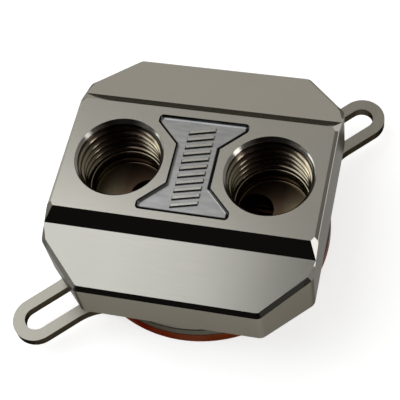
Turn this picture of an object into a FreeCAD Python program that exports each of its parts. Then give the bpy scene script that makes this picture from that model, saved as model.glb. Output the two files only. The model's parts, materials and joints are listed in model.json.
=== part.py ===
"""Liquid cooling cold plate: a nickel-plated block with two G1/4 ports, a copper base with
cooling fins and a stainless bracket whose two slotted ears take the mounting screws.

Frame: +Z up, origin at the centre of the copper base's underside, X along the line of the ports.
Lengths are in millimetres. Every size is a cell of the sheet "dims".
"""
import FreeCAD
import Part
import Sketcher
import math
import os

DRIVING_SIZES = [
    # upper body: the octagonal block above the bracket
    ("block_length", 40.0, "across the two side faces, along X"),
    ("block_width", 41.3, "across the front and back faces, along Y"),
    ("block_height", 10.8, "from the block's underside to the flat ridge"),
    ("side_shoulder", 2.51, "from the foot of the steep slope to the corner face, along the side"),
    ("corner_round", 1.4, "radius of the block's vertical edges"),
    ("ridge_width", 19.14, "flat ridge that carries the ports, along Y"),
    ("slope_run", 2.07, "steep slope beside the ridge, measured along Y"),
    ("slope_drop", 1.72, "steep slope beside the ridge, measured along Z"),
    ("shoulder_drop", 1.93, "fall of each shoulder from the steep slope to the outer face"),
    ("rim_inset", 0.6, "bevel round the top edges, measured across the top"),
    ("rim_drop", 0.6, "bevel round the top edges, measured down the side"),
    ("kite_length", 0.68, "how far the tapered corner facet reaches along the ridge's bevel"),
    ("kite_width", 1.04, "how far the tapered corner facet reaches along the ridge's edge"),
    ("corner_facet", 0.7, "width of the small facet between the side and the corner face"),
    # upper body: boss, spigot and bow-tie recess
    ("boss_inset", 0.15, "from the base's edge to the edge of the round boss under the block"),
    ("boss_height", 3.85, "round boss under the block"),
    ("clamp_width", 2.2, "from the base's edge to the spigot that passes through the bracket"),
    ("recess_length", 13.8, "bow-tie recess, along X over its tips"),
    ("recess_border", 1.32, "ridge left in front of and behind the recess"),
    ("recess_tip", 1.35, "straight side at each tip of the recess"),
    ("port_land", 1.24, "ridge left between the recess's waist and each port's mouth"),
    ("waist_width", 6.7, "narrow middle of the recess, along Y"),
    ("recess_depth", 0.6, "depth of the recess"),
    ("recess_round", 0.65, "cutter radius at the tips of the recess"),
    ("recess_blend", 0.5, "hollow blend round the recess's floor"),
    # ports
    ("port_spacing", 22.62, "between the two port axes"),
    ("thread_diameter", 13.16, "G1/4 thread, over its roots"),
    ("thread_length", 7.6, "threaded stretch, from the top face"),
    ("mouth_bevel", 0.14, "bevel round each port's mouth"),
    ("relief_step", 0.86, "radial, from the thread's roots to the smooth bore below it"),
    ("port_depth", 10.7, "from the top face to the port's floor"),
    ("feed_ledge", 0.1, "from a feed hole to the rim of the port's floor and of the chamber"),
    # water chamber, seal and screws in the spigot's face
    ("fin_headroom", 0.2, "between the fin tops and the chamber's roof"),
    ("groove_wall", 0.5, "between the chamber and the sealing ring's groove"),
    ("groove_width", 2.0, "sealing ring's groove"),
    ("groove_depth", 1.15, "sealing ring's groove"),
    ("groove_edge", 0.42, "between the sealing ring's groove and the tapped holes"),
    ("ring_play", 0.125, "radial, on each side of the squeezed sealing ring"),
    ("ring_round", 0.4, "rounded corners of the squeezed sealing ring"),
    ("screw_edge", 0.62, "between the tapped holes and the spigot's edge"),
    ("screw_count", 6, "base screws"),
    ("screw_diameter", 2.5, "base screw's shank"),
    ("screw_length", 6.0, "base screw, over its head"),
    ("screw_point", 0.3, "bevel at the shank's tip"),
    ("head_web", 1.1, "copper left above each countersunk head"),
    ("head_rim", 0.2, "straight rim of the countersunk head"),
    ("head_sink", 0.1, "how far each head lies inside the base's underside"),
    ("hex_width", 1.5, "hexagon socket, across its flats"),
    ("hex_depth", 0.8, "hexagon socket"),
    ("tap_play", 0.03, "radial, between a shank and its tapped hole"),
    ("tap_room", 0.9, "tapped hole beyond each screw's tip"),
    ("head_play", 0.06, "radial, between a screw and the base"),
    # copper base
    ("base_diameter", 39.4, "copper base"),
    ("base_thickness", 2.5, "copper base's plate"),
    ("base_bevel", 0.2, "bevel round the plate's lower edge"),
    ("fin_side_play", 0.5, "between the round field of fins and the chamber's wall"),
    ("fin_height", 2.8, "fins above the plate"),
    ("fin_pitch", 1.0, "from one channel to the next"),
    ("channel_width", 0.5, "water channels between the fins"),
    # bracket
    ("bracket_thickness", 1.6, "stainless plate"),
    ("bracket_inset", 0.05, "from the base's edge to the edge of the bracket's ring"),
    ("bracket_bore_play", 0.1, "radial, round the spigot"),
    ("bracket_end_play", 0.05, "between the bracket and the boss"),
    ("ear_width", 7.2, "each slotted ear"),
    ("ear_reach", 34.1, "from the centre to each ear's tip"),
    ("ear_tip_web", 1.87, "metal between a slot and the ear's tip"),
    ("ear_fillet", 8.0, "radius where an ear joins the ring"),
    ("slot_width", 3.65, "each slot"),
    ("slot_wall", 1.95, "from the ring's edge to each slot's inner end"),
]
EAR_ANGLE = 45          # degrees, from X to the line of the two ears
CORNER_ANGLE = 45       # degrees, from a side face to the corner face beside it
CUT_MARGIN = 1.0        # how far cutting shapes reach past the metal
MATCH = 1e-4            # tolerance when an edge is looked up by its place
WEDGE_HEIGHT = 1.5      # of the wedges that cut the run-out facets
WEDGE_REACH = 1.6       # how far a kite's wedge runs past the ridge's edge, as a factor
WEDGE_MARGIN = 0.1      # how far those wedges are widened past the metal

document = FreeCAD.newDocument("cold_plate")
sheet = document.addObject("Spreadsheet::Sheet", "dims")
for row, (alias, size, meaning) in enumerate(DRIVING_SIZES, start=1):
    sheet.set(f"A{row}", alias)
    sheet.set(f"B{row}", str(size))
    sheet.set(f"C{row}", meaning)
    sheet.setAlias(f"B{row}", alias)
document.recompute()

# Heights, radii and half sizes that several pieces share, as expressions of the sheet.
BASE_TOP = "dims.base_thickness"
BRACKET_TOP = f"({BASE_TOP} + dims.bracket_thickness)"
BOSS_BOTTOM = f"({BRACKET_TOP} + dims.bracket_end_play)"
BLOCK_BOTTOM = f"({BOSS_BOTTOM} + dims.boss_height)"
BLOCK_TOP = f"({BLOCK_BOTTOM} + dims.block_height)"
CHAMBER_ROOF = f"({BASE_TOP} + dims.fin_height + dims.fin_headroom)"
PORT_FLOOR = f"({BLOCK_TOP} - dims.port_depth)"
PORT_AXIS = "dims.port_spacing / 2"
THREAD_RADIUS = "dims.thread_diameter / 2"
MOUTH_RADIUS = f"({THREAD_RADIUS} + dims.mouth_bevel)"
RELIEF_RADIUS = f"({THREAD_RADIUS} - dims.relief_step)"

HALF_LENGTH = "dims.block_length / 2"
HALF_WIDTH = "dims.block_width / 2"
HALF_RIDGE = "dims.ridge_width / 2"
SLOPE_FOOT = f"({HALF_RIDGE} + dims.slope_run)"
FOOT_HEIGHT = f"({BLOCK_TOP} - dims.slope_drop)"
EAVES_HEIGHT = f"({FOOT_HEIGHT} - dims.shoulder_drop)"
CORNER_START = f"({SLOPE_FOOT} + dims.side_shoulder)"
CORNER_CUT = f"({HALF_WIDTH} - {CORNER_START})"

BASE_RADIUS = "dims.base_diameter / 2"
BRACKET_RADIUS = f"({BASE_RADIUS} - dims.bracket_inset)"
SPIGOT_RADIUS = f"({BASE_RADIUS} - dims.clamp_width)"
SHANK_RADIUS = "dims.screw_diameter / 2"
TAP_RADIUS = f"({SHANK_RADIUS} + dims.tap_play)"
SCREW_CIRCLE = f"({SPIGOT_RADIUS} - dims.screw_edge - {TAP_RADIUS})"
GROOVE_OUTER = f"({SCREW_CIRCLE} - {TAP_RADIUS} - dims.groove_edge)"
GROOVE_INNER = f"({GROOVE_OUTER} - dims.groove_width)"
CHAMBER_RADIUS = f"({GROOVE_INNER} - dims.groove_wall)"
FIN_RADIUS = f"({CHAMBER_RADIUS} - dims.fin_side_play)"
FEED_NEAR = f"({PORT_AXIS} - {RELIEF_RADIUS} + dims.feed_ledge)"
FEED_FAR = f"({CHAMBER_RADIUS} - dims.feed_ledge)"

SCREW_TIP = "(dims.head_sink + dims.screw_length)"
HEAD_RIM_TOP = "(dims.head_sink + dims.head_rim)"
HEAD_CONE_TOP = f"({BASE_TOP} - dims.head_web)"
HEAD_RADIUS = f"({SHANK_RADIUS} + {HEAD_CONE_TOP} - {HEAD_RIM_TOP})"


def size(expression):
    """Number that an expression of the sheet has now."""
    return float(sheet.evalExpression(expression))


def bind(target, **expressions):
    """Tie properties of an object to the sheet."""
    for name, expression in expressions.items():
        target.setExpression(name, expression)


# ---------------------------------------------------------------- sketches and features

def new_body(name):
    body = document.addObject("PartDesign::Body", name)
    body.Label = name
    return body


def origin_feature(body, role):
    return next(item for item in body.Origin.OriginFeatures if item.Role == role)


def new_sketch(body, name, plane="XY_Plane", height=None):
    """Sketch on one of the body's own origin planes, lifted along its normal."""
    sketch = body.newObject("Sketcher::SketchObject", name)
    sketch.AttachmentSupport = [(origin_feature(body, plane), "")]
    sketch.MapMode = "FlatFace"
    if height:
        sketch.setExpression("AttachmentOffset.Base.z", height)
    return sketch


def pin_point(sketch, curve, point, x, y):
    """Hold a sketch point at (x, y), each an expression of the sheet."""
    for kind, axis, expression in (("DistanceX", -2, x), ("DistanceY", -1, y)):
        if expression == "0":
            sketch.addConstraint(Sketcher.Constraint("PointOnObject", curve, point, axis))
            continue
        place = size(expression)
        number = sketch.addConstraint(Sketcher.Constraint(kind, -1, 1, curve, point, place))
        sketch.setExpression(f"Constraints[{number}]", expression)


def draw_outline(sketch, corners):
    """Closed outline of straight lines; each corner is a pair of expressions."""
    points = [FreeCAD.Vector(size(x), size(y), 0) for x, y in corners]
    lines = []
    for start, end in zip(points, points[1:] + points[:1]):
        lines.append(sketch.addGeometry(Part.LineSegment(start, end), False))
    for line, following in zip(lines, lines[1:] + lines[:1]):
        sketch.addConstraint(Sketcher.Constraint("Coincident", line, 2, following, 1))
    for line, (x, y) in zip(lines, corners):
        pin_point(sketch, line, 1, x, y)


def draw_circle(sketch, radius, x="0", y="0"):
    centre = FreeCAD.Vector(size(x), size(y), 0)
    circle = Part.Circle(centre, FreeCAD.Vector(0, 0, 1), size(radius))
    curve = sketch.addGeometry(circle, False)
    pin_point(sketch, curve, 3, x, y)
    number = sketch.addConstraint(Sketcher.Constraint("Radius", curve, size(radius)))
    sketch.setExpression(f"Constraints[{number}]", radius)


def draw_slot(sketch, inner, outer, radius):
    """Straight slot along the sketch's X axis, between two end centres, with round ends."""
    start, end, half = size(inner), size(outer), size(radius)
    up = FreeCAD.Vector(0, 0, 1)
    near = Part.ArcOfCircle(Part.Circle(FreeCAD.Vector(start, 0, 0), up, half),
                            math.pi / 2, 3 * math.pi / 2)
    far = Part.ArcOfCircle(Part.Circle(FreeCAD.Vector(end, 0, 0), up, half),
                           -math.pi / 2, math.pi / 2)
    low = Part.LineSegment(FreeCAD.Vector(start, -half, 0), FreeCAD.Vector(end, -half, 0))
    high = Part.LineSegment(FreeCAD.Vector(end, half, 0), FreeCAD.Vector(start, half, 0))
    near_arc, low_line, far_arc, high_line = [
        sketch.addGeometry(curve, False) for curve in (near, low, far, high)]
    for first, first_end, second, second_end in (
            (near_arc, 2, low_line, 1), (low_line, 2, far_arc, 1),
            (far_arc, 2, high_line, 1), (high_line, 2, near_arc, 1)):
        sketch.addConstraint(Sketcher.Constraint("Tangent", first, first_end, second, second_end))
    pin_point(sketch, near_arc, 3, inner, "0")
    pin_point(sketch, far_arc, 3, outer, "0")
    number = sketch.addConstraint(Sketcher.Constraint("Radius", near_arc, half))
    sketch.setExpression(f"Constraints[{number}]", radius)


def pad(body, sketch, length, name):
    feature = body.newObject("PartDesign::Pad", name)
    feature.Profile = sketch
    feature.Type = "Length"
    bind(feature, Length=length)
    return finish(body, feature, grows=True)


def pocket(body, sketch, depth, name, symmetric=False, upward=False):
    """Cut along the sketch's normal: downward as a rule, or both ways, or upward."""
    feature = body.newObject("PartDesign::Pocket", name)
    feature.Profile = sketch
    feature.Type = "Length"
    feature.Midplane = symmetric
    feature.Reversed = upward
    bind(feature, Length=depth)
    return finish(body, feature, grows=False)


def draw_axis(sketch, x, low, high):
    """Upright construction line that a profile is turned about."""
    start = FreeCAD.Vector(size(x), size(low), 0)
    end = FreeCAD.Vector(size(x), size(high), 0)
    axis = sketch.addGeometry(Part.LineSegment(start, end), True)
    pin_point(sketch, axis, 1, x, low)
    pin_point(sketch, axis, 2, x, high)


def turn(body, sketch, name, kind):
    """Revolve a profile once round its own construction line, as metal or as a cut."""
    feature = body.newObject(f"PartDesign::{kind}", name)
    feature.Profile = sketch
    feature.ReferenceAxis = (sketch, ["Axis0"])
    feature.Angle = 360
    return finish(body, feature, grows=kind == "Revolution")


def rotate_sketch(sketch, axis, angle):
    """Turn a sketch about one of its own axes by an angle given as an expression."""
    sketch.AttachmentOffset = FreeCAD.Placement(sketch.AttachmentOffset.Base,
                                                FreeCAD.Rotation(axis, 1))
    sketch.setExpression("AttachmentOffset.Rotation.Angle", angle)


def finish(body, feature, grows):
    """Recompute, and check that the feature added or removed metal as it should."""
    before = feature.BaseFeature.Shape.Volume if feature.BaseFeature else 0.0
    document.recompute()
    change = feature.Shape.Volume - before
    if (change > 0) != grows or abs(change) < MATCH:
        raise RuntimeError(f"{body.Label}: {feature.Name} changes the volume by {change:.3f}")
    return feature


def mirrored(body, feature, plane, name):
    """Repeat a feature on the other side of an origin plane."""
    pattern = body.newObject("PartDesign::Mirrored", name)
    pattern.Originals = [feature]
    pattern.MirrorPlane = (origin_feature(body, plane), [""])
    body.Tip = pattern
    document.recompute()
    return pattern


def polar(body, feature, count, name):
    """Repeat a feature round the Z axis."""
    pattern = body.newObject("PartDesign::PolarPattern", name)
    pattern.Originals = [feature]
    pattern.Axis = (origin_feature(body, "Z_Axis"), [""])
    pattern.Angle = 360
    bind(pattern, Occurrences=count)
    body.Tip = pattern
    document.recompute()
    return pattern


def edges_where(shape, test):
    """Names of the edges whose two end points both pass the test."""
    names = []
    for number, edge in enumerate(shape.Edges, start=1):
        ends = edge.Vertexes
        if len(ends) == 2 and test(ends[0].Point, ends[1].Point):
            names.append(f"Edge{number}")
    return names


def vertical(start, end):
    return math.hypot(start.x - end.x, start.y - end.y) < MATCH


def near(first, second):
    return abs(first - second) < MATCH


def round_edges(body, base, names, radius, name):
    feature = body.newObject("PartDesign::Fillet", name)
    feature.Base = (base, names)
    bind(feature, Radius=radius)
    document.recompute()
    return feature


def bevel_edges(body, base, names, across, down, name, flip):
    feature = body.newObject("PartDesign::Chamfer", name)
    feature.Base = (base, names)
    feature.ChamferType = "Two distances"
    feature.FlipDirection = flip
    bind(feature, Size=across, Size2=down)
    document.recompute()
    return feature


# ---------------------------------------------------------------- upper body

def make_upper_body():
    """Machined block: octagon, ridge, shoulders, boss, spigot, ports, recess and chamber."""
    body = new_body("block")
    sketch = new_sketch(body, "block_outline", height=BLOCK_BOTTOM)
    corner_x = f"({HALF_LENGTH} - {CORNER_CUT})"
    draw_outline(sketch, [
        (HALF_LENGTH, f"-{CORNER_START}"), (HALF_LENGTH, CORNER_START),
        (corner_x, HALF_WIDTH), (f"-{corner_x}", HALF_WIDTH),
        (f"-{HALF_LENGTH}", CORNER_START), (f"-{HALF_LENGTH}", f"-{CORNER_START}"),
        (f"-{corner_x}", f"-{HALF_WIDTH}"), (corner_x, f"-{HALF_WIDTH}")])
    block = pad(body, sketch, "dims.block_height", "block_pad")

    half_width = size(HALF_WIDTH)
    front_corners = edges_where(block.Shape, lambda start, end: vertical(start, end)
                                and near(abs(start.y), half_width))
    block = round_edges(body, block, front_corners, "dims.corner_round", "front_corner_rounds")

    sketch = new_sketch(body, "shoulder_profile", "YZ_Plane")
    outside = f"-{HALF_WIDTH} - {CUT_MARGIN}"
    above = f"{BLOCK_TOP} + {CUT_MARGIN}"
    draw_outline(sketch, [
        (f"-{HALF_RIDGE}", BLOCK_TOP), (f"-{SLOPE_FOOT}", FOOT_HEIGHT),
        (f"-{HALF_WIDTH}", EAVES_HEIGHT), (outside, EAVES_HEIGHT), (outside, above),
        (f"-{HALF_RIDGE}", above)])
    shoulder = pocket(body, sketch, f"dims.block_length + {2 * CUT_MARGIN}", "front_shoulder",
                      symmetric=True)
    block = mirrored(body, shoulder, "XZ_Plane", "both_shoulders")

    eaves = size(EAVES_HEIGHT)
    top = size(BLOCK_TOP)
    half_length = size(HALF_LENGTH)
    front_rims = edges_where(block.Shape, lambda start, end: near(start.z, eaves)
                             and near(end.z, eaves) and near(start.y, end.y))
    block = bevel_edges(body, block, front_rims, "dims.rim_inset", "dims.rim_drop",
                        "shoulder_rims", flip=False)
    ridge_rims = edges_where(block.Shape, lambda start, end: near(start.z, top)
                             and near(end.z, top) and near(abs(start.x), half_length)
                             and near(start.x, end.x))
    block = bevel_edges(body, block, ridge_rims, "dims.rim_inset", "dims.rim_drop",
                        "ridge_rims", flip=True)

    sketch = new_sketch(body, "boss_circle", height=BOSS_BOTTOM)
    draw_circle(sketch, f"{BASE_RADIUS} - dims.boss_inset")
    pad(body, sketch, "dims.boss_height", "boss")
    sketch = new_sketch(body, "spigot_circle", height=BASE_TOP)
    draw_circle(sketch, SPIGOT_RADIUS)
    pad(body, sketch, f"{BOSS_BOTTOM} - {BASE_TOP}", "spigot")

    cut_recess(body)
    cut_ports(body)
    cut_spigot_face(body)
    return body


def cut_recess(body):
    """Bow-tie recess between the ports, with a hollow blend all round its floor."""
    sketch = new_sketch(body, "recess_outline", height=BLOCK_TOP)
    tip_x, tip_y = "dims.recess_length / 2", f"({HALF_RIDGE} - dims.recess_border)"
    waist_x, waist_y = f"({PORT_AXIS} - {MOUTH_RADIUS} - dims.port_land)", "dims.waist_width / 2"
    side_y = f"{tip_y} - dims.recess_tip"
    draw_outline(sketch, [
        (tip_x, tip_y), (f"-{tip_x}", tip_y), (f"-{tip_x}", side_y), (f"-{waist_x}", waist_y),
        (f"-{waist_x}", f"-{waist_y}"), (f"-{tip_x}", f"-({side_y})"), (f"-{tip_x}", f"-{tip_y}"),
        (tip_x, f"-{tip_y}"), (tip_x, f"-({side_y})"), (waist_x, f"-{waist_y}"),
        (waist_x, waist_y), (tip_x, side_y)])
    recess = pocket(body, sketch, "dims.recess_depth", "recess")
    tip = size(tip_x)
    floor = size(f"{BLOCK_TOP} - dims.recess_depth")
    tips = edges_where(recess.Shape, lambda start, end: vertical(start, end)
                       and near(abs(start.x), tip) and near(min(start.z, end.z), floor))
    recess = round_edges(body, recess, tips, "dims.recess_round", "recess_tip_rounds")
    floor_edges = edges_where(recess.Shape, lambda start, end: near(start.z, floor)
                              and near(end.z, floor))
    round_edges(body, recess, floor_edges, "dims.recess_blend", "recess_floor_blend")


def cut_ports(body):
    """Two threaded ports: countersink, thread bore, smooth bore and flat floor."""
    sketch = new_sketch(body, "port_profile", "XZ_Plane")
    mouth = f"{PORT_AXIS} + {MOUTH_RADIUS}"
    thread = f"{PORT_AXIS} + {THREAD_RADIUS}"
    relief = f"{PORT_AXIS} + {RELIEF_RADIUS}"
    thread_floor = f"{BLOCK_TOP} - dims.thread_length"
    draw_outline(sketch, [
        (PORT_AXIS, BLOCK_TOP), (mouth, BLOCK_TOP), (thread, f"{BLOCK_TOP} - dims.mouth_bevel"),
        (thread, thread_floor), (relief, f"{thread_floor} - dims.relief_step"),
        (relief, PORT_FLOOR), (PORT_AXIS, PORT_FLOOR)])
    draw_axis(sketch, PORT_AXIS, PORT_FLOOR, BLOCK_TOP)
    port = turn(body, sketch, "right_port", "Groove")
    mirrored(body, port, "YZ_Plane", "both_ports")

    sketch = new_sketch(body, "feed_circles", height=PORT_FLOOR)
    for side in ("", "-"):
        middle = f"{side}({FEED_FAR} + {FEED_NEAR}) / 2"
        draw_circle(sketch, f"({FEED_FAR} - {FEED_NEAR}) / 2", middle)
    pocket(body, sketch, f"{PORT_FLOOR} - {CHAMBER_ROOF}", "feed_holes")


def cut_spigot_face(body):
    """Water chamber, sealing groove and tapped holes, all open to the spigot's face."""
    sketch = new_sketch(body, "chamber_circle", height=CHAMBER_ROOF)
    draw_circle(sketch, CHAMBER_RADIUS)
    pocket(body, sketch, f"{CHAMBER_ROOF} - {BASE_TOP}", "chamber")

    sketch = new_sketch(body, "groove_circles", height=f"{BASE_TOP} + dims.groove_depth")
    draw_circle(sketch, GROOVE_INNER)
    draw_circle(sketch, GROOVE_OUTER)
    pocket(body, sketch, "dims.groove_depth", "seal_groove")

    sketch = new_sketch(body, "tapped_circle", height=f"{SCREW_TIP} + dims.tap_room")
    x, y = screw_place(0)
    draw_circle(sketch, TAP_RADIUS, x, y)
    hole = pocket(body, sketch, f"{SCREW_TIP} + dims.tap_room - {BASE_TOP}", "tapped_hole")
    polar(body, hole, "dims.screw_count", "tapped_holes")


def screw_place(number):
    """Centre of a base screw, as expressions; the first lies half a step from X."""
    angle = f"({number} + 0.5) * 360 deg / dims.screw_count"
    return f"{SCREW_CIRCLE} * cos({angle})", f"{SCREW_CIRCLE} * sin({angle})"


def shoulder_height(y):
    """Height of the sloping shoulder at a distance y from the block's middle."""
    foot, edge = size(SLOPE_FOOT), size(HALF_WIDTH)
    fall = size("dims.shoulder_drop") * (abs(y) - foot) / (edge - foot)
    return size(FOOT_HEIGHT) - fall


def facet_wedge(points):
    """Cutting wedge that stands on a flat facet and reaches out of the block."""
    normal = (points[1] - points[0]).cross(points[2] - points[0]).normalize()
    if normal.z < 0:
        normal = normal * -1
    face = Part.Face(Part.makePolygon(points + points[:1]))
    return face.extrude(normal * WEDGE_HEIGHT)


def kite_wedge(foot):
    """Facet from the foot of the slope up to the ridge's edge and to the ridge's own bevel."""
    side, top = size(HALF_LENGTH), size(BLOCK_TOP)
    ridge = size(HALF_RIDGE)
    on_edge = FreeCAD.Vector(side - size("dims.kite_width"), -ridge, top)
    on_bevel = FreeCAD.Vector(side - size("dims.rim_inset"), size("dims.kite_length") - ridge, top)
    normal = (on_bevel - on_edge).cross(foot - on_edge)
    drop = normal.x * (side - on_edge.x) / normal.z
    on_side = FreeCAD.Vector(side, -ridge, top - drop)
    spread = (on_side - on_edge).normalize() * 2 * WEDGE_MARGIN
    upper = foot + (on_edge - foot) * WEDGE_REACH - spread
    lower = foot + (on_side - foot) * WEDGE_REACH + spread
    return facet_wedge([foot, upper, lower])


def beyond(start, end):
    """Point a little past the end of the line from start to end."""
    return end + (end - start).normalize() * WEDGE_MARGIN


def corner_wedges(foot):
    """Shoulder bevel that grows from the foot to the octagon's corner, and the corner's facet."""
    side = size(HALF_LENGTH)
    inset, drop = size("dims.rim_inset"), size("dims.rim_drop")
    corner_turn = math.radians(CORNER_ANGLE)
    corner_y = -size(CORNER_START)
    inner_y = corner_y + inset * math.tan(corner_turn / 2)
    outer = FreeCAD.Vector(side, corner_y, shoulder_height(corner_y) - drop)
    inner = FreeCAD.Vector(side - inset, inner_y, shoulder_height(inner_y))
    bevel = facet_wedge([foot, beyond(foot, inner), beyond(foot, outer)])

    # The facet faces midway between the growing bevel and the corner face's own bevel.
    bevel_turn = math.atan2(inset, foot.y - inner.y)
    facing = (corner_turn + bevel_turn) / 2
    outward = FreeCAD.Vector(math.cos(facing), -math.sin(facing), 0)
    across = FreeCAD.Vector(math.sin(facing), math.cos(facing), 0)
    depth = size("dims.corner_facet") / 2 * math.tan((corner_turn - bevel_turn) / 2)
    down = outer - inner
    upper, lower = inner - outward * depth - down, outer - outward * depth + down
    facet = facet_wedge([upper - across, upper + across, lower + across, lower - across])
    return [bevel, facet]


def make_run_out_wedges():
    """Wedges for the tapered facets where the top bevels run out at the foot of each slope.

    They are worked out at the front right corner, where the foot meets the side face, and
    mirrored to the other three.
    """
    foot = FreeCAD.Vector(size(HALF_LENGTH), -size(SLOPE_FOOT), size(FOOT_HEIGHT))
    corner = [kite_wedge(foot)] + corner_wedges(foot)
    middle = FreeCAD.Vector(0, 0, 0)
    right = corner + [wedge.mirror(middle, FreeCAD.Vector(0, 1, 0)) for wedge in corner]
    both = right + [wedge.mirror(middle, FreeCAD.Vector(1, 0, 0)) for wedge in right]
    wedges = document.addObject("Part::Feature", "run_out_wedges")
    wedges.Shape = Part.makeCompound(both)
    return wedges


def finish_upper_body(block):
    """Cut the run-out facets, then round the vertical edges beside the side faces."""
    faceted = document.addObject("Part::Cut", "faceted_block")
    faceted.Base = block
    faceted.Tool = make_run_out_wedges()
    document.recompute()
    half_length = size(HALF_LENGTH)
    bottom = size(BLOCK_BOTTOM)
    names = edges_where(faceted.Shape, lambda start, end: vertical(start, end)
                        and near(abs(start.x), half_length) and near(min(start.z, end.z), bottom))
    radius = size("dims.corner_round")
    body = document.addObject("Part::Fillet", "upper_body")
    body.Label = "upper_body"
    body.Base = faceted
    body.Edges = [(int(name[len("Edge"):]), radius, radius) for name in names]
    document.recompute()
    return body


# ---------------------------------------------------------------- copper base

def make_base_plate():
    """Copper disc with a round field of straight fins and countersunk screw holes."""
    body = new_body("base_plate")
    sketch = new_sketch(body, "plate_circle")
    draw_circle(sketch, BASE_RADIUS)
    plate = pad(body, sketch, BASE_TOP, "plate")
    lower_edge = [f"Edge{number}" for number, edge in enumerate(plate.Shape.Edges, start=1)
                  if edge.isClosed() and near(edge.BoundBox.ZMax, 0)]
    bevel_edges(body, plate, lower_edge, "dims.base_bevel", "dims.base_bevel", "plate_bevel",
                flip=False)
    cut_countersinks(body)
    add_fins(body)
    return body


def cut_countersinks(body):
    sketch = new_sketch(body, "countersink_profile", "XZ_Plane")
    rotate_sketch(sketch, FreeCAD.Vector(0, 1, 0), "180 deg / dims.screw_count")
    hole = f"{SCREW_CIRCLE} + {SHANK_RADIUS} + dims.head_play"
    mouth = f"{SCREW_CIRCLE} + {HEAD_RADIUS} + dims.head_play"
    draw_outline(sketch, [(SCREW_CIRCLE, "0"), (mouth, "0"), (mouth, HEAD_RIM_TOP),
                          (hole, HEAD_CONE_TOP), (hole, BASE_TOP), (SCREW_CIRCLE, BASE_TOP)])
    draw_axis(sketch, SCREW_CIRCLE, "0", BASE_TOP)
    countersink = turn(body, sketch, "countersink", "Groove")
    polar(body, countersink, "dims.screw_count", "countersinks")


def add_fins(body):
    """A round boss on the plate, cut into fins by parallel channels along X."""
    sketch = new_sketch(body, "fin_circle", height=BASE_TOP)
    draw_circle(sketch, FIN_RADIUS)
    pad(body, sketch, "dims.fin_height", "fin_field")
    sketch = new_sketch(body, "channel_outline", height=f"{BASE_TOP} + dims.fin_height")
    reach = f"({FIN_RADIUS} + {CUT_MARGIN})"
    half_channel = "dims.channel_width / 2"
    draw_outline(sketch, [(reach, f"-{half_channel}"), (reach, half_channel),
                          (f"-{reach}", half_channel), (f"-{reach}", f"-{half_channel}")])
    middle = pocket(body, sketch, "dims.fin_height", "middle_channel")
    beside = f"floor({FIN_RADIUS} / dims.fin_pitch - 0.5)"
    for name, frontward in (("back_channels", False), ("front_channels", True)):
        row = body.newObject("PartDesign::LinearPattern", name)
        row.Originals = [middle]
        row.Direction = (origin_feature(body, "Y_Axis"), [""])
        row.Reversed = frontward
        bind(row, Occurrences=f"{beside} + 1", Length=f"{beside} * dims.fin_pitch")
        body.Tip = row
        document.recompute()


# ---------------------------------------------------------------- bracket

def make_bracket():
    """Stainless ring round the spigot, with two slotted ears on one diagonal."""
    body = new_body("mounting_bracket")
    sketch = new_sketch(body, "ring_circle", height=BASE_TOP)
    draw_circle(sketch, BRACKET_RADIUS)
    pad(body, sketch, "dims.bracket_thickness", "ring")
    upright = FreeCAD.Vector(0, 0, 1)
    sketch = new_sketch(body, "ear_outline", height=BASE_TOP)
    rotate_sketch(sketch, upright, f"{EAR_ANGLE} deg")
    outer_centre = "(dims.ear_reach - dims.ear_width / 2)"
    draw_slot(sketch, f"-{outer_centre}", outer_centre, "dims.ear_width / 2")
    ears = pad(body, sketch, "dims.bracket_thickness", "ears")
    ring, half_ear = size(BRACKET_RADIUS), size("dims.ear_width / 2")
    across = FreeCAD.Rotation(upright, EAR_ANGLE).multVec(FreeCAD.Vector(0, 1, 0))
    roots = edges_where(ears.Shape, lambda start, end: vertical(start, end)
                        and near(math.hypot(start.x, start.y), ring)
                        and near(abs(start.dot(across)), half_ear))
    round_edges(body, ears, roots, "dims.ear_fillet", "ear_roots")

    top = BRACKET_TOP
    sketch = new_sketch(body, "bore_circle", height=top)
    draw_circle(sketch, f"{SPIGOT_RADIUS} + dims.bracket_bore_play")
    pocket(body, sketch, "dims.bracket_thickness", "bore")
    sketch = new_sketch(body, "slot_outline", height=top)
    rotate_sketch(sketch, upright, f"{EAR_ANGLE} deg")
    half_slot = "dims.slot_width / 2"
    draw_slot(sketch, f"{BRACKET_RADIUS} + dims.slot_wall + {half_slot}",
              f"dims.ear_reach - dims.ear_tip_web - {half_slot}", half_slot)
    slot = pocket(body, sketch, "dims.bracket_thickness", "slot")
    polar(body, slot, "2", "slots")
    return body


# ---------------------------------------------------------------- seal and screws

def make_sealing_ring():
    """Rubber ring, squeezed flat between its groove and the copper base."""
    body = new_body("sealing_ring")
    sketch = new_sketch(body, "ring_section", "XZ_Plane")
    inner = f"{GROOVE_INNER} + dims.ring_play"
    outer = f"{GROOVE_OUTER} - dims.ring_play"
    top = f"{BASE_TOP} + dims.groove_depth"
    draw_outline(sketch, [(inner, BASE_TOP), (outer, BASE_TOP), (outer, top), (inner, top)])
    draw_axis(sketch, "0", BASE_TOP, top)
    ring = turn(body, sketch, "ring", "Revolution")
    edges = [f"Edge{number}" for number, edge in enumerate(ring.Shape.Edges, start=1)
             if edge.isClosed()]
    round_edges(body, ring, edges, "dims.ring_round", "ring_rounds")
    return body


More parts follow.
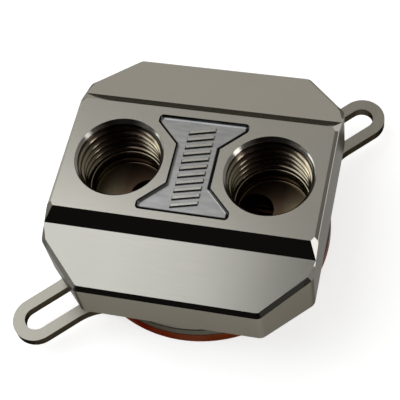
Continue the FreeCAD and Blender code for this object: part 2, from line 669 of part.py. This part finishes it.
def make_base_screw(number):
    """Countersunk socket screw that pulls the copper base up against the spigot."""
    body = new_body(f"base_screw_{number + 1}")
    sketch = new_sketch(body, f"screw_section_{number + 1}", "XZ_Plane")
    bottom = "dims.head_sink"
    draw_outline(sketch, [("0", bottom), (HEAD_RADIUS, bottom), (HEAD_RADIUS, HEAD_RIM_TOP),
                          (SHANK_RADIUS, HEAD_CONE_TOP),
                          (SHANK_RADIUS, f"{SCREW_TIP} - dims.screw_point"),
                          (f"{SHANK_RADIUS} - dims.screw_point", SCREW_TIP), ("0", SCREW_TIP)])
    draw_axis(sketch, "0", bottom, SCREW_TIP)
    turn(body, sketch, f"screw_{number + 1}", "Revolution")
    sketch = new_sketch(body, f"socket_outline_{number + 1}", height=bottom)
    corner = "dims.hex_width / 2 / cos(30 deg)"
    draw_outline(sketch, [(f"{corner} * cos({turned} deg)", f"{corner} * sin({turned} deg)")
                          for turned in range(30, 390, 60)])
    pocket(body, sketch, "dims.hex_depth", f"socket_{number + 1}", upward=True)
    x, y = screw_place(number)
    body.setExpression("Placement.Base.x", x)
    body.setExpression("Placement.Base.y", y)
    return body


# ---------------------------------------------------------------- assembly and export

def check_document():
    """Stop if any object of the document failed to recompute."""
    for item in document.Objects:
        if "Invalid" in item.State or "Error" in item.State:
            raise RuntimeError(f"{item.Name} failed: {item.State}")


def export(nodes):
    """Write each sub-part's solid to parts/LABEL.step, once all of them are sound."""
    check_document()
    for node in nodes:
        shape = node.Shape
        if shape.isNull() or not shape.isValid() or len(shape.Solids) != 1:
            raise RuntimeError(f"{node.Label} isn't one valid solid")
    os.makedirs("parts", exist_ok=True)
    for node in nodes:
        node.Shape.exportStep(f"parts/{node.Label}.step")
        box = node.Shape.BoundBox
        print(f"{node.Label}: {node.Shape.Volume:.1f} mm3, "
              f"X {box.XMin:.2f}..{box.XMax:.2f}, Y {box.YMin:.2f}..{box.YMax:.2f}, "
              f"Z {box.ZMin:.2f}..{box.ZMax:.2f}")


pieces = [finish_upper_body(make_upper_body()), make_base_plate(), make_bracket(),
          make_sealing_ring()]
pieces += [make_base_screw(number) for number in range(int(size("dims.screw_count")))]
document.recompute()
export(pieces)
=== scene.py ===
"""Looks of the liquid cooling cold plate: finishes, threads in the ports, ribs in the recess.

Everything is in metres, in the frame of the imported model: +Z up, base at Z 0, ports along X.
"""
import json
import math

import bpy
import numpy as np
from mathutils import Matrix, Vector


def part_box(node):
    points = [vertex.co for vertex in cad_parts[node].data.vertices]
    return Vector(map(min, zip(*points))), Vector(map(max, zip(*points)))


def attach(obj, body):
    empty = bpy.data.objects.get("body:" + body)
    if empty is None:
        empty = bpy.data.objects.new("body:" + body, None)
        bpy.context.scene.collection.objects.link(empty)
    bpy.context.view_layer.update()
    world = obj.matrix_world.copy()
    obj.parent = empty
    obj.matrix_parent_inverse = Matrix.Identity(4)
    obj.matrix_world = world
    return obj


MM = 0.001

# Camera, as an orbit round a point on the object's middle. Angles are in degrees.
CAMERA_AIM = Vector((0.105, -0.542, 9.8)) * MM
CAMERA_DISTANCE = 172.746 * MM
CAMERA_AZIMUTH = 23.617
CAMERA_ELEVATION = 58.915
CAMERA_ROLL = -12.892
CAMERA_LENS = 102.1
CAMERA_SENSOR = 36.0

# G1/4 thread inside the bores. Depths are measured from the top face.
THREAD_PITCH = 1.337 * MM
THREAD_CREST = 5.72 * MM
MOUTH_CREST = 6.26 * MM     # the first turns are lower: their crest tapers in from this radius
MOUTH_TAPER = 0.2           # by this share of the depth
THREAD_PHASE = 0.36         # turns; sets where round the mouth the thread starts
LEAD_IN = 0.98 * MM         # how far past THREAD_CREST the 45 degree lead-in opens at the top
THREAD_START = 0.12 * MM    # depth at which the first turn shows in the lead-in
THREAD_END = 7.4 * MM       # depth at which the thread has run out
BORE_STEP = 7.6 * MM        # depth of the rounded lip between the thread and the smooth bore
LIP = 0.16 * MM             # how far that lip stands in, and its height
PORT_DEPTH = 10.7 * MM
FLOOR_ROUND = 0.22 * MM     # hollow round at the foot of the bore
WALL_CLEARANCE = 0.02 * MM  # between the lining and the wall of the CAD's bore
STEPS_AROUND = 192
THREAD_ROWS = 300
LIP_ROWS = 9
ROUND_ROWS = 7

# Recess between the ports, and the ribs on its floor.
RECESS_DEPTH = 0.6 * MM
RECESS_HALF_LENGTH = 8.25 * MM
RECESS_HALF_TIPS = 6.9 * MM
RECESS_HALF_WAIST = 3.35 * MM
RIB_COUNT = 11
RIB_PITCH = 1.26 * MM
RIB_HALF_LENGTH = 2.0 * MM
RIB_HALF_WIDTH = 0.33 * MM
RIB_SLANT = 0.25
RIB_HEIGHT = 0.26 * MM
RIB_BEVEL = 0.12 * MM

FLOOR_TONE = 0.86
FLOOR_GLOW = 0.72           # added only where the camera or the metal sees the floor

# Soft limits on a face's tilt, the size of its normal's Z: near 1 on the top and the shoulders,
# 0.7 on the bevels and 0 on the sides.
LEVEL = (0.86, 0.94)
SLOPING = (0.86, 0.80)
UPRIGHT = (0.30, 0.15)
NOT_UPRIGHT = (0.30, 0.50)
LEFT_FRONT = (-0.30, -0.40)     # on the normal's X and on its Y instead

# Colours. A pair is mixed by noise.
PLATE = ((0.42, 0.407, 0.37), (0.45, 0.437, 0.40))
# Upright faces are darker: painted shade.
PLATE_UPRIGHT_PAINTED_SHADE = (0.245, 0.23, 0.20)
# The rim's bevel by the shoulders and the left-front corner are darker: painted shade.
PLATE_RIM_PAINTED_SHADE = (0.14, 0.133, 0.118)
PLATE_MILLED = ((0.27, 0.275, 0.28), (0.50, 0.505, 0.51))
# Dark band along the recess wall: painted shade.
RECESS_WALL_PAINTED_SHADE = (0.008, 0.0075, 0.007)
PORT_BROWN = ((0.13, 0.080, 0.052), (0.20, 0.135, 0.09))
# Brighter brass on the outer side of each port floor: painted light.
PORT_BRASS_PAINTED_LIGHT = (0.52, 0.44, 0.28)
THREAD_PLATED = ((0.54, 0.525, 0.47), (0.60, 0.58, 0.53))
THREAD_BRASSY = ((0.33, 0.285, 0.195), (0.46, 0.415, 0.31))
SMOOTH_BORE = (0.20, 0.16, 0.10)
# Dark thread roots: painted shade.
ROOT_PAINTED_SHADE = (0.05, 0.024, 0.017)
# Dark back wall of each port: painted shade.
BACK_WALL_PAINTED_SHADE = (0.10, 0.055, 0.042)
COPPER = ((0.10, 0.048, 0.033), (0.16, 0.080, 0.058))
CUT_BRIGHT = ((0.50, 0.495, 0.47), (0.58, 0.575, 0.55))
SHEET = ((0.30, 0.285, 0.25), (0.42, 0.40, 0.355))
EAR_EDGE = ((0.035, 0.030, 0.023), (0.09, 0.080, 0.065))
RING_EDGE = (0.15, 0.142, 0.125)
RUBBER = ((0.02, 0.02, 0.02), (0.035, 0.035, 0.035))
SCREW = ((0.5, 0.5, 0.5), (0.58, 0.58, 0.59))
WHITE = (1.0, 1.0, 1.0)

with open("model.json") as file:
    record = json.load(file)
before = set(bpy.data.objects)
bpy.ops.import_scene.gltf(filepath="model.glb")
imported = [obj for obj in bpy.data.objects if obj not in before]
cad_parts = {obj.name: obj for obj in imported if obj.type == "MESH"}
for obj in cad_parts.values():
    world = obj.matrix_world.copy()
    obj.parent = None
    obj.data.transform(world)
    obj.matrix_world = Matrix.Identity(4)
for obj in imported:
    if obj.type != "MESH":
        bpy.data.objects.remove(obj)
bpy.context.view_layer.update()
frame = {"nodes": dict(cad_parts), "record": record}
nodes = frame["nodes"]
mounts = {mount["name"]: mount for mount in frame["record"]["mounts"]}
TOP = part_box("upper_body")[1].z
PORT_X = mounts["port_right"]["pos_m"][0]
ROOT_RADIUS = mounts["port_right"]["dims"]["r_mm"] * MM


# ---------------------------------------------------------------- node helpers

class NodeTree:
    """Short calls for the nodes used here, in the tree of a material or the world."""

    def __init__(self, owner):
        owner.use_nodes = True
        self.tree = owner.node_tree

    def node(self, kind, **settings):
        made = self.tree.nodes.new(kind)
        for name, setting in settings.items():
            setattr(made, name, setting)
        return made

    def link(self, source, target):
        """Feed an input from an output, or set it to a number."""
        if isinstance(source, (int, float)):
            target.default_value = source
        else:
            self.tree.links.new(source, target)

    def math(self, operation, first, second=0.0):
        made = self.node("ShaderNodeMath", operation=operation)
        self.link(first, made.inputs[0])
        self.link(second, made.inputs[1])
        return made.outputs[0]

    def times(self, first, second):
        return self.math("MULTIPLY", first, second)

    def minus(self, first, second):
        return self.math("SUBTRACT", first, second)

    def size(self, source):
        return self.math("ABSOLUTE", source)

    def distance(self, across, along):
        squares = self.math("ADD", self.times(across, across), self.times(along, along))
        return self.math("SQRT", squares)

    def remap(self, source, low, high, to_low=0.0, to_high=1.0):
        """Soft step from one value to another as the source goes from low to high."""
        made = self.node("ShaderNodeMapRange", interpolation_type="SMOOTHSTEP")
        self.link(source, made.inputs["Value"])
        for name, number in (("From Min", low), ("From Max", high),
                             ("To Min", to_low), ("To Max", to_high)):
            made.inputs[name].default_value = number
        return made.outputs["Result"]

    def split(self, vector):
        made = self.node("ShaderNodeSeparateXYZ")
        self.link(vector, made.inputs[0])
        return made.outputs["X"], made.outputs["Y"], made.outputs["Z"]


class Shader(NodeTree):
    """A new material, with calls for its colours, noise and surface."""

    def __init__(self, name):
        self.material = bpy.data.materials.new(name)
        super().__init__(self.material)
        self.surface = self.tree.nodes["Principled BSDF"]
        self.position = self.node("ShaderNodeTexCoord").outputs["Object"]

    def normal(self):
        return self.split(self.node("ShaderNodeNewGeometry").outputs["Normal"])

    def noise(self, scale, stretch=(1, 1, 1)):
        """Noise in metres, drawn out along an axis where its stretch is small."""
        mapping = self.node("ShaderNodeMapping")
        mapping.inputs["Scale"].default_value = stretch
        self.link(self.position, mapping.inputs["Vector"])
        made = self.node("ShaderNodeTexNoise")
        made.inputs["Scale"].default_value = scale
        made.inputs["Detail"].default_value = 3.0
        self.link(mapping.outputs["Vector"], made.inputs["Vector"])
        return made.outputs["Fac"]

    def vary(self, noise, low, high):
        """From low to high over the range that noise mostly takes."""
        return self.remap(noise, 0.3, 0.7, low, high)

    def mix(self, factor, first, second):
        """Mix two numbers."""
        made = self.node("ShaderNodeMix")
        self.link(factor, made.inputs["Factor"])
        self.link(first, made.inputs["A"])
        self.link(second, made.inputs["B"])
        return made.outputs["Result"]

    def blend(self, factor, first, second):
        """Mix two colours, each an output or a tuple."""
        made = self.node("ShaderNodeMix", data_type="RGBA")
        self.link(factor, made.inputs["Factor"])
        for socket, colour in ((made.inputs["A"], first), (made.inputs["B"], second)):
            if isinstance(colour, tuple):
                socket.default_value = (*colour, 1.0)
            else:
                self.link(colour, socket)
        return made.outputs["Result"]

    def bump(self, height, strength, distance):
        made = self.node("ShaderNodeBump")
        made.inputs["Strength"].default_value = strength
        made.inputs["Distance"].default_value = distance
        self.link(height, made.inputs["Height"])
        self.link(made.outputs["Normal"], self.surface.inputs["Normal"])

    def set(self, name, source):
        if isinstance(source, tuple):
            self.surface.inputs[name].default_value = (*source, 1.0)
        else:
            self.link(source, self.surface.inputs[name])

    def metal(self, colour, roughness, tint=WHITE):
        """Finish as a metal; the tint colours what it reflects at a low angle."""
        self.set("Base Color", colour)
        self.set("Metallic", 1.0)
        self.set("Specular Tint", tint)
        self.set("Roughness", roughness)
        return self.material


# ---------------------------------------------------------------- materials

def nickel_plate():
    """Satin top, polished bevels, duller sides darkened as painted shade, a dull rim and
    left-front corner darkened as painted shade, milled recess with painted shade along its wall,
    brown in the ports with painted light on the outer side of each port floor.
    """
    shader = Shader("nickel_plate")
    x, y, z = shader.split(shader.position)
    right, back, up = shader.normal()
    tilt = shader.size(up)
    upright = shader.remap(tilt, *UPRIGHT)
    satin = shader.math("MAXIMUM", shader.remap(tilt, *LEVEL), upright)
    brush = shader.noise(9000.0, (0.02, 1.0, 1.0))
    cloud = shader.noise(140.0)
    outward, radius = port_place(shader, x, y)
    within_mouth = shader.remap(radius, 6.7 * MM, 6.62 * MM)
    in_port = shader.times(within_mouth, shader.remap(z, TOP - 0.02 * MM, TOP - 0.2 * MM))
    # Outer side of each port floor, brightened there as painted light.
    brass_and_painted_light = shader.remap(outward, 0.5 * MM, 4.5 * MM)
    recessed, wall_shade = recess_masks(shader, x, y, z)
    # Left-front corner: made dull, and darkened as painted shade.
    left_front_dull_and_shaded = shader.times(left_front(shader, right, back, tilt), 0.8)
    rim_dull_and_shaded = shader.math("MAXIMUM", dull_shaded_rim(shader, x, y, tilt), left_front_dull_and_shaded)

    outside = shader.blend(cloud, *PLATE)
    # Upright faces darkened as painted shade.
    outside = shader.blend(upright, outside, PLATE_UPRIGHT_PAINTED_SHADE)
    milled = shader.blend(shader.noise(1500.0, (0.25, 1.0, 1.0)), *PLATE_MILLED)
    outside = shader.blend(recessed, outside, milled)
    # Painted shade along the recess wall.
    outside = shader.blend(wall_shade, outside, RECESS_WALL_PAINTED_SHADE)
    # Rim bevel and left-front corner darkened as painted shade.
    outside = shader.blend(rim_dull_and_shaded, outside, PLATE_RIM_PAINTED_SHADE)
    inside = shader.blend(shader.noise(260.0), *PORT_BROWN)
    # Painted light on the outer side of each port floor.
    inside = shader.blend(brass_and_painted_light, inside, PORT_BRASS_PAINTED_LIGHT)

    rough = shader.mix(satin, shader.vary(cloud, 0.06, 0.08), shader.vary(brush, 0.22, 0.25))
    rough = shader.mix(recessed, rough, 0.30)
    rough = shader.mix(rim_dull_and_shaded, rough, 0.30)
    rough = shader.mix(in_port, rough, 0.34)

    turning_pitch = 0.28 * MM
    turning = shader.math("SINE", shader.times(radius, 2 * math.pi / turning_pitch))
    relief = shader.mix(in_port, shader.times(brush, 0.15), turning)
    shader.bump(relief, strength=0.10, distance=0.02 * MM)
    return shader.metal(shader.blend(in_port, outside, inside), rough, (0.28, 0.272, 0.255))


def dull_shaded_rim(shader, x, y, tilt):
    """Where the rim's bevel curves over beside the shoulders and round the corner: dull there,
    and darkened as painted shade.
    """
    bevel = shader.times(shader.remap(tilt, *SLOPING), shader.remap(tilt, *NOT_UPRIGHT))
    at_side = shader.remap(shader.size(x), 18.80 * MM, 18.95 * MM)
    past_slope = shader.remap(shader.size(y), 12.2 * MM, 12.6 * MM)
    return shader.times(bevel, shader.times(at_side, past_slope))


def left_front(shader, right, back, tilt):
    """What faces left and to the front: a bevel, and the upright corner face under it, both
    darkened as painted shade.
    """
    facing = shader.times(shader.remap(right, *LEFT_FRONT), shader.remap(back, *LEFT_FRONT))
    return shader.times(facing, shader.remap(tilt, *SLOPING))


def port_place(shader, x, y):
    """Distance outward from the nearer port's axis along X, and distance from the axis."""
    outward = shader.minus(shader.size(x), PORT_X)
    return outward, shader.distance(outward, y)


def recess_masks(shader, x, y, z):
    """Where the recess lies, and a dark band of painted shade along its wall, wider in front and
    at the right.
    """
    wider_right, wider_front = 0.24 * MM, 0.32 * MM
    side = shader.size(shader.math("ADD", x, wider_right))
    along = shader.size(shader.minus(y, wider_front))
    to_end = shader.minus(RECESS_HALF_LENGTH, along)
    to_tip = shader.minus(RECESS_HALF_TIPS, side)
    to_waist = shader.minus(RECESS_HALF_WAIST, side)
    to_slant = shader.times(shader.minus(along, side), math.sqrt(0.5))
    to_wall = shader.math("MINIMUM", shader.math("MINIMUM", to_end, to_tip),
                          shader.math("MAXIMUM", to_waist, to_slant))
    below = shader.remap(z, TOP - 0.02 * MM, TOP - 0.10 * MM)
    recessed = shader.times(below, shader.remap(to_wall, -0.35 * MM, -0.25 * MM))
    wall_shade = shader.times(recessed, shader.remap(to_wall, 0.50 * MM, 0.30 * MM))
    return recessed, wall_shade


def thread_metal():
    """Plated at the mouth and brass below, with painted shade in the thread's root and on the
    back wall of each port.
    """
    shader = Shader("thread_metal")
    x, y, z = shader.split(shader.position)
    _, radius = port_place(shader, x, y)
    depth = shader.minus(TOP, z)
    cloud = shader.noise(500.0)
    plated = shader.blend(cloud, *THREAD_PLATED)
    brass_and_painted_light = shader.blend(cloud, *THREAD_BRASSY)
    below_plating = shader.remap(depth, 0.5 * MM, 1.6 * MM)
    below_thread = shader.remap(depth, 7.8 * MM, 9.0 * MM)
    colour = shader.blend(below_plating, plated, brass_and_painted_light)
    colour = shader.blend(below_thread, colour, SMOOTH_BORE)

    tapered = shader.minus(MOUTH_CREST, shader.times(depth, MOUTH_TAPER))
    crest = shader.math("MAXIMUM", THREAD_CREST, tapered)
    into = shader.math("DIVIDE", shader.minus(radius, crest), shader.minus(ROOT_RADIUS, crest))
    below_lead_in = shader.remap(depth, 0.50 * MM, 0.62 * MM)
    # Thread roots darkened as painted shade.
    root_shade = shader.times(shader.remap(into, 0.30, 0.60), below_lead_in)
    colour = shader.blend(shader.times(root_shade, 0.92), colour, ROOT_PAINTED_SHADE)

    # Distance from the port's axis towards the back, turned about 20 degrees to the left.
    axis = shader.times(shader.math("SIGN", x), PORT_X)
    leftward = shader.times(shader.minus(axis, x), 0.34)
    toward_back = shader.math("ADD", shader.times(y, 0.94), leftward)
    # The back wall of each port, darker below the mouth: painted shade.
    back_wall_shade = shader.times(shader.remap(toward_back, 4.2 * MM, 5.6 * MM),
                         shader.remap(depth, 0.7 * MM, 1.8 * MM, 0.0, 0.75))
    return shader.metal(shader.blend(back_wall_shade, colour, BACK_WALL_PAINTED_SHADE), shader.vary(cloud, 0.14, 0.20))


def copper():
    shader = Shader("bare_copper")
    cloud = shader.noise(200.0)
    return shader.metal(shader.blend(cloud, *COPPER), shader.vary(cloud, 0.22, 0.34),
                        (0.40, 0.26, 0.21))


def cut_ribs():
    """The same plate, cut bright."""
    shader = Shader("bright_cut_nickel")
    cloud = shader.noise(300.0)
    return shader.metal(shader.blend(cloud, *CUT_BRIGHT), shader.vary(cloud, 0.14, 0.20))


def stainless():
    """Satin sheet with grain and darker cut edges, less dark on the ring than on the ears."""
    shader = Shader("stainless_sheet")
    _, _, up = shader.normal()
    cut = shader.remap(shader.size(up), 0.7, 0.3)
    grain = shader.noise(7000.0, (1.0, 0.03, 1.0))
    drag = shader.noise(6000.0, (1.0, 1.0, 0.05))
    x, y, _ = shader.split(shader.position)
    on_ring = shader.remap(shader.distance(x, y), 22.0 * MM, 20.0 * MM)
    edge = shader.blend(on_ring, shader.blend(drag, *EAR_EDGE), RING_EDGE)
    colour = shader.blend(cut, shader.blend(grain, *SHEET), edge)
    rough = shader.mix(cut, shader.vary(grain, 0.30, 0.38), 0.34)
    return shader.metal(colour, rough, (0.20, 0.19, 0.165))


def rubber():
    shader = Shader("seal_rubber")
    shader.set("Base Color", shader.blend(shader.noise(4000.0), *RUBBER))
    shader.set("Roughness", 0.6)
    return shader.material


def screw_steel():
    shader = Shader("screw_steel")
    return shader.metal(shader.blend(shader.noise(3000.0), *SCREW), 0.3)


def paint(node_name, material):
    for slot in nodes[node_name].material_slots:
        slot.material = material


# ---------------------------------------------------------------- pieces

def make_piece(name, vertices, faces, material, smooth=True):
    mesh = bpy.data.meshes.new(name)
    mesh.from_pydata([tuple(vertex) for vertex in vertices], [], faces)
    mesh.materials.append(material)
    mesh.update()
    if smooth:
        mesh.shade_smooth()
    piece = bpy.data.objects.new(name, mesh)
    bpy.context.scene.collection.objects.link(piece)
    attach(piece, "root")


def smooth_step(value, low, high):
    share = np.clip((value - low) / (high - low), 0.0, 1.0)
    return share * share * (3 - 2 * share)


def lining_rows():
    """Depth and radius of the lining without its thread, and whether the row has thread."""
    bore = THREAD_CREST - WALL_CLEARANCE
    rows = [(depth, max(THREAD_CREST, MOUTH_CREST - MOUTH_TAPER * depth), True)
            for depth in np.linspace(0.0, THREAD_END, THREAD_ROWS)]
    rows += [(BORE_STEP - LIP * math.cos(angle) * 0.5, bore - LIP * math.sin(angle), False)
             for angle in np.linspace(0.0, math.pi, LIP_ROWS)]
    rows += [(PORT_DEPTH - FLOOR_ROUND * (1 - math.sin(angle)) - WALL_CLEARANCE,
              bore - FLOOR_ROUND * (1 - math.cos(angle)), False)
             for angle in np.linspace(0.0, 0.5 * math.pi, ROUND_ROWS)]
    return rows


def port_lining(name, port, material):
    """Lead-in, right-handed thread, lip and smooth bore of one port, as one turned skin."""
    x, y, _ = port["pos_m"]
    root = port["dims"]["r_mm"] * MM - WALL_CLEARANCE
    depths, plain, threaded = (np.array(column)[:, None] for column in zip(*lining_rows()))
    angles = np.linspace(0.0, 2 * math.pi, STEPS_AROUND, endpoint=False)
    phase = (depths / THREAD_PITCH + angles / (2 * math.pi) + THREAD_PHASE) % 1.0
    flank = 1.0 - np.abs(2 * phase - 1)
    wave = 0.5 - 0.5 * np.cos(math.pi * flank)
    groove = 0.55 * flank + 0.45 * wave     # a V with its crest and root rounded
    shown = smooth_step(depths, THREAD_START, 2 * THREAD_START)
    shown = shown * (1 - smooth_step(depths, THREAD_END - THREAD_PITCH / 2, THREAD_END))
    radius = plain + threaded * (root - plain) * groove * shown
    radius = np.maximum(radius, np.where(threaded, THREAD_CREST + LEAD_IN - depths, 0.0))
    heights = np.broadcast_to(TOP - depths, radius.shape)
    vertices = np.stack([x + radius * np.cos(angles), y + radius * np.sin(angles), heights],
                        axis=-1).reshape(-1, 3)
    faces = []
    for row in range(len(radius) - 1):
        start, below = row * STEPS_AROUND, (row + 1) * STEPS_AROUND
        for column in range(STEPS_AROUND):
            following = (column + 1) % STEPS_AROUND
            faces.append((start + column, start + following, below + following, below + column))
    make_piece(name, vertices, faces, material)


def recess_ribs(material):
    """Row of plain slanted ribs with bevelled tops, milled proud of the recess's floor."""
    floor = TOP - RECESS_DEPTH
    levels = ((floor, 0.0), (floor + RIB_HEIGHT - RIB_BEVEL, 0.0),
              (floor + RIB_HEIGHT, RIB_BEVEL))
    vertices, faces = [], []
    for number in range(RIB_COUNT):
        middle = (number - (RIB_COUNT - 1) / 2) * RIB_PITCH
        start = len(vertices)
        for level, shrink in levels:
            for side, way in ((-1, -1), (1, -1), (1, 1), (-1, 1)):
                across = side * (RIB_HALF_LENGTH - shrink)
                along = middle + way * (RIB_HALF_WIDTH - shrink) + RIB_SLANT * across
                vertices.append((across, along, level))
        for low in (start, start + 4):
            for corner in range(4):
                following = (corner + 1) % 4
                faces.append((low + corner, low + following, low + following + 4,
                              low + corner + 4))
        faces.append(tuple(start + 8 + corner for corner in range(4)))
        faces.append(tuple(start + corner for corner in (3, 2, 1, 0)))
    make_piece("recess_ribs", vertices, faces, material, smooth=False)


# ---------------------------------------------------------------- stage, light and camera

def make_floor():
    """Pale floor that also looks pale in the metal."""
    bpy.ops.mesh.primitive_circle_add(vertices=96, radius=4.0, fill_type="NGON",
                                      location=(0, 0, -0.02 * MM))
    floor = bpy.context.object
    floor.name = "floor"
    shader = Shader("pale_floor")
    shader.set("Base Color", (FLOOR_TONE, FLOOR_TONE, FLOOR_TONE))
    shader.set("Roughness", 0.9)
    shader.set("Specular IOR Level", 0.0)
    rays = shader.node("ShaderNodeLightPath").outputs
    seen = shader.math("MAXIMUM", rays["Is Camera Ray"], rays["Is Glossy Ray"])
    seen = shader.math("MAXIMUM", seen, rays["Is Transmission Ray"])
    shader.set("Emission Color", WHITE)
    shader.set("Emission Strength", shader.times(seen, FLOOR_GLOW))
    floor.data.materials.append(shader.material)


def make_world():
    """Soft room: dark in front, brightest behind, dimmer towards the right."""
    world = bpy.data.worlds.new("studio")
    bpy.context.scene.world = world
    room = NodeTree(world)
    right, back, _ = room.split(room.node("ShaderNodeTexCoord").outputs["Generated"])
    toward_back = room.remap(back, -0.50, 0.90, to_low=0.01, to_high=0.66)
    away_from_right = room.remap(right, -0.3, 0.8, to_low=1.0, to_high=0.30)
    at_sides = room.remap(room.size(right), 0.42, 0.80, to_high=0.07)
    strength = room.math("ADD", room.times(toward_back, away_from_right), at_sides)
    background = room.tree.nodes["Background"]
    background.inputs["Color"].default_value = (1.0, 0.965, 0.90, 1.0)
    room.link(strength, background.inputs["Strength"])


def soft_box(name, toward, distance, width, height, power, colour=WHITE):
    """Area lamp that stands in a direction from the object, and is turned to face it."""
    data = bpy.data.lights.new(name, "AREA")
    data.shape = "RECTANGLE"
    data.size, data.size_y = width, height
    data.energy = power
    data.color = colour
    lamp = bpy.data.objects.new(name, data)
    bpy.context.scene.collection.objects.link(lamp)
    lamp.location = Vector(toward).normalized() * distance
    lamp.rotation_mode = "QUATERNION"
    lamp.rotation_quaternion = (-lamp.location).to_track_quat("-Z", "Y")


def make_lamps():
    soft_box("key", (-0.56, -0.02, 0.83), distance=0.36, width=0.36, height=0.36, power=0.52,
             colour=(0.955, 0.985, 1.0))
    soft_box("low_left", (-0.95, 0.14, 0.44), distance=0.40, width=0.30, height=0.20, power=0.27)
    soft_box("side", (0.93, -0.16, 0.33), distance=0.40, width=0.09, height=0.22, power=0.12)


def make_camera():
    data = bpy.data.cameras.new("camera")
    data.lens, data.sensor_width = CAMERA_LENS, CAMERA_SENSOR
    data.clip_start, data.clip_end = 0.01, 20.0
    camera = bpy.data.objects.new("camera", data)
    bpy.context.scene.collection.objects.link(camera)
    azimuth, elevation = math.radians(CAMERA_AZIMUTH), math.radians(CAMERA_ELEVATION)
    back = Vector((math.sin(azimuth) * math.cos(elevation),
                   -math.cos(azimuth) * math.cos(elevation), math.sin(elevation)))
    camera.location = CAMERA_AIM + back * CAMERA_DISTANCE
    level = (-back).to_track_quat("-Z", "Y").to_matrix().to_4x4()
    roll = Matrix.Rotation(math.radians(CAMERA_ROLL), 4, "Z")
    camera.rotation_mode = "QUATERNION"
    camera.rotation_quaternion = (level @ roll).to_quaternion()
    bpy.context.scene.camera = camera


def main():
    paint("upper_body", nickel_plate())
    paint("base_plate", copper())
    paint("mounting_bracket", stainless())
    paint("sealing_ring", rubber())
    steel = screw_steel()
    for name in nodes:
        if name.startswith("base_screw"):
            paint(name, steel)
    threads = thread_metal()
    for side in ("left", "right"):
        port_lining(f"thread_{side}", mounts[f"port_{side}"], threads)
    recess_ribs(cut_ribs())
    make_floor()
    make_world()
    make_lamps()
    make_camera()
    bpy.context.scene.view_settings.view_transform = "Standard"


main()
